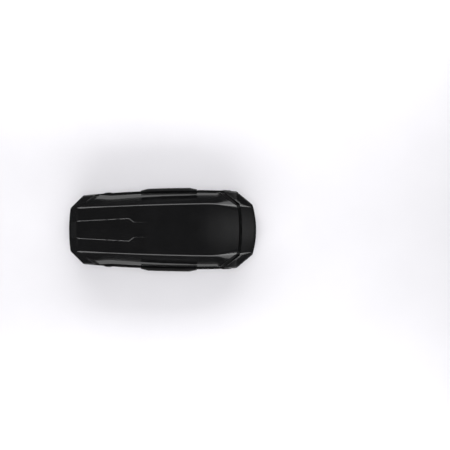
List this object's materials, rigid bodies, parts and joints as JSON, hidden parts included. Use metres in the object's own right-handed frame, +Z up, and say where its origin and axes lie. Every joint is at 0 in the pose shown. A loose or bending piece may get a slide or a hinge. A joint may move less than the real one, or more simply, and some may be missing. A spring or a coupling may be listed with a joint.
{
  "type": "roof cargo box",
  "caption": "Long black roof box with a formed lid that opens from either side, outer side grips, key locks and screw clamps that grip two crossbars.",
  "frame": {"origin": "middle of the flat underside of the base tray", "axes": "+X towards the front of the car, +Y to its left, +Z up"},
  "size_m": [2.15, 0.9604, 0.4672],
  "materials": {
    "lid_gloss": "gloss black vacuum-formed ABS",
    "base_shell": "grained matte black ABS",
    "grip_plastic": "satin dark moulded plastic with fine grain",
    "nylon": "glass-filled nylon, satin",
    "knob_plastic": "dark grey moulded plastic",
    "steel": "zinc-plated steel",
    "spring_steel": "oiled spring steel",
    "aluminium": "mill-finish extrusion",
    "rubber": "matte rubber",
    "key_metal": "nickel-plated lock barrel"
  },
  "bodies": {
    "base": {"base_tray": "base_shell", "left_floor_rail": "aluminium", "left_front_striker": "steel", "left_centre_striker": "steel", "left_rear_striker": "steel", "left_front_base_bracket": "steel", "left_front_spring": "spring_steel", "left_front_clamp_housing": "nylon", "left_front_bar_pad": "rubber", "left_rear_base_bracket": "steel", "left_rear_spring": "spring_steel", "left_rear_clamp_housing": "nylon", "left_rear_bar_pad": "rubber", "right_floor_rail": "aluminium", "right_front_striker": "steel", "right_centre_striker": "steel", "right_rear_striker": "steel", "right_front_base_bracket": "steel", "right_front_spring": "spring_steel", "right_front_clamp_housing": "nylon", "right_front_bar_pad": "rubber", "right_rear_base_bracket": "steel", "right_rear_spring": "spring_steel", "right_rear_clamp_housing": "nylon", "right_rear_bar_pad": "rubber"},
    "arms_a": {"front_arm_a": "steel", "rear_arm_a": "steel"},
    "lid": {"lid_shell": "lid_gloss", "left_front_lid_bracket": "steel", "left_rear_lid_bracket": "steel", "left_grip": "grip_plastic", "left_lock_housing": "nylon", "right_front_lid_bracket": "steel", "right_rear_lid_bracket": "steel", "right_grip": "grip_plastic", "right_lock_housing": "nylon"},
    "arms_b": {"front_arm_b": "steel", "rear_arm_b": "steel"},
    "left_key": {"left_key_cylinder": "key_metal", "left_lock_cam": "steel"},
    "left_lock_bar": {"left_lock_bar": "steel"},
    "left_front_clamp_knob": {"left_front_clamp_knob": "knob_plastic"},
    "left_front_clamp_front_jaw": {"left_front_clamp_front_jaw": "nylon"},
    "left_front_clamp_rear_jaw": {"left_front_clamp_rear_jaw": "nylon"},
    "left_rear_clamp_knob": {"left_rear_clamp_knob": "knob_plastic"},
    "left_rear_clamp_front_jaw": {"left_rear_clamp_front_jaw": "nylon"},
    "left_rear_clamp_rear_jaw": {"left_rear_clamp_rear_jaw": "nylon"},
    "right_key": {"right_key_cylinder": "key_metal", "right_lock_cam": "steel"},
    "right_lock_bar": {"right_lock_bar": "steel"},
    "right_front_clamp_knob": {"right_front_clamp_knob": "knob_plastic"},
    "right_front_clamp_front_jaw": {"right_front_clamp_front_jaw": "nylon"},
    "right_front_clamp_rear_jaw": {"right_front_clamp_rear_jaw": "nylon"},
    "right_rear_clamp_knob": {"right_rear_clamp_knob": "knob_plastic"},
    "right_rear_clamp_front_jaw": {"right_rear_clamp_front_jaw": "nylon"},
    "right_rear_clamp_rear_jaw": {"right_rear_clamp_rear_jaw": "nylon"}
  },
  "joints": [
    {"name": "lid_opens_on_left", "type": "hinge", "parent": "base", "child": "arms_a", "pos_m": [0, -0.412, 0.136], "axis": [1, 0, 0], "range_deg": [0, 50]},
    {"name": "lid_opens_on_right", "type": "hinge", "parent": "arms_a", "child": "lid", "pos_m": [0, 0.412, 0.136], "axis": [1, 0, 0], "range_deg": [-50, 0]},
    {"name": "arms_b_swing", "type": "hinge", "parent": "base", "child": "arms_b", "pos_m": [0, 0.412, 0.136], "axis": [1, 0, 0], "range_deg": [-50, 0]},
    {"name": "left_key_turn", "type": "hinge", "parent": "lid", "child": "left_key", "pos_m": [0.073, 0.4, 0.148], "axis": [0, 1, 0], "range_deg": [0, 90]},
    {"name": "left_lock_bar_slide", "type": "slide", "parent": "lid", "child": "left_lock_bar", "axis": [1, 0, 0], "range_m": [0, 0.024]},
    {"name": "left_front_clamp_screw", "type": "hinge", "parent": "base", "child": "left_front_clamp_knob", "pos_m": [0.466, 0.3, 0.06], "axis": [0, 0, -1], "range_deg": [-1080, 720]},
    {"name": "left_front_clamp_front_jaw_slide", "type": "slide", "parent": "base", "child": "left_front_clamp_front_jaw", "axis": [-1, 0, 0], "range_m": [-0.0121, 0.0081]},
    {"name": "left_front_clamp_rear_jaw_slide", "type": "slide", "parent": "base", "child": "left_front_clamp_rear_jaw", "axis": [1, 0, 0], "range_m": [-0.0121, 0.0081]},
    {"name": "left_rear_clamp_screw", "type": "hinge", "parent": "base", "child": "left_rear_clamp_knob", "pos_m": [-0.299, 0.3, 0.06], "axis": [0, 0, -1], "range_deg": [-1080, 720]},
    {"name": "left_rear_clamp_front_jaw_slide", "type": "slide", "parent": "base", "child": "left_rear_clamp_front_jaw", "axis": [-1, 0, 0], "range_m": [-0.0121, 0.0081]},
    {"name": "left_rear_clamp_rear_jaw_slide", "type": "slide", "parent": "base", "child": "left_rear_clamp_rear_jaw", "axis": [1, 0, 0], "range_m": [-0.0121, 0.0081]},
    {"name": "right_key_turn", "type": "hinge", "parent": "lid", "child": "right_key", "pos_m": [0.073, -0.4, 0.148], "axis": [0, 1, 0], "range_deg": [0, 90]},
    {"name": "right_lock_bar_slide", "type": "slide", "parent": "lid", "child": "right_lock_bar", "axis": [1, 0, 0], "range_m": [0, 0.024]},
    {"name": "right_front_clamp_screw", "type": "hinge", "parent": "base", "child": "right_front_clamp_knob", "pos_m": [0.466, -0.3, 0.06], "axis": [0, 0, -1], "range_deg": [-1080, 720]},
    {"name": "right_front_clamp_front_jaw_slide", "type": "slide", "parent": "base", "child": "right_front_clamp_front_jaw", "axis": [-1, 0, 0], "range_m": [-0.0121, 0.0081]},
    {"name": "right_front_clamp_rear_jaw_slide", "type": "slide", "parent": "base", "child": "right_front_clamp_rear_jaw", "axis": [1, 0, 0], "range_m": [-0.0121, 0.0081]},
    {"name": "right_rear_clamp_screw", "type": "hinge", "parent": "base", "child": "right_rear_clamp_knob", "pos_m": [-0.299, -0.3, 0.06], "axis": [0, 0, -1], "range_deg": [-1080, 720]},
    {"name": "right_rear_clamp_front_jaw_slide", "type": "slide", "parent": "base", "child": "right_rear_clamp_front_jaw", "axis": [-1, 0, 0], "range_m": [-0.0121, 0.0081]},
    {"name": "right_rear_clamp_rear_jaw_slide", "type": "slide", "parent": "base", "child": "right_rear_clamp_rear_jaw", "axis": [1, 0, 0], "range_m": [-0.0121, 0.0081]}
  ],
  "couplings": [
    {"joint": "arms_b_swing", "follows": "lid_opens_on_right", "ratio": 1},
    {"joint": "left_key_turn", "follows": "left_lock_bar_slide", "rad_per_m": 65.4},
    {"joint": "left_front_clamp_front_jaw_slide", "follows": "left_front_clamp_screw", "m_per_rad": 0.00063662},
    {"joint": "left_front_clamp_rear_jaw_slide", "follows": "left_front_clamp_screw", "m_per_rad": 0.00063662},
    {"joint": "left_rear_clamp_front_jaw_slide", "follows": "left_rear_clamp_screw", "m_per_rad": 0.00063662},
    {"joint": "left_rear_clamp_rear_jaw_slide", "follows": "left_rear_clamp_screw", "m_per_rad": 0.00063662},
    {"joint": "right_key_turn", "follows": "right_lock_bar_slide", "rad_per_m": 65.4},
    {"joint": "right_front_clamp_front_jaw_slide", "follows": "right_front_clamp_screw", "m_per_rad": 0.00063662},
    {"joint": "right_front_clamp_rear_jaw_slide", "follows": "right_front_clamp_screw", "m_per_rad": 0.00063662},
    {"joint": "right_rear_clamp_front_jaw_slide", "follows": "right_rear_clamp_screw", "m_per_rad": 0.00063662},
    {"joint": "right_rear_clamp_rear_jaw_slide", "follows": "right_rear_clamp_screw", "m_per_rad": 0.00063662}
  ]
}
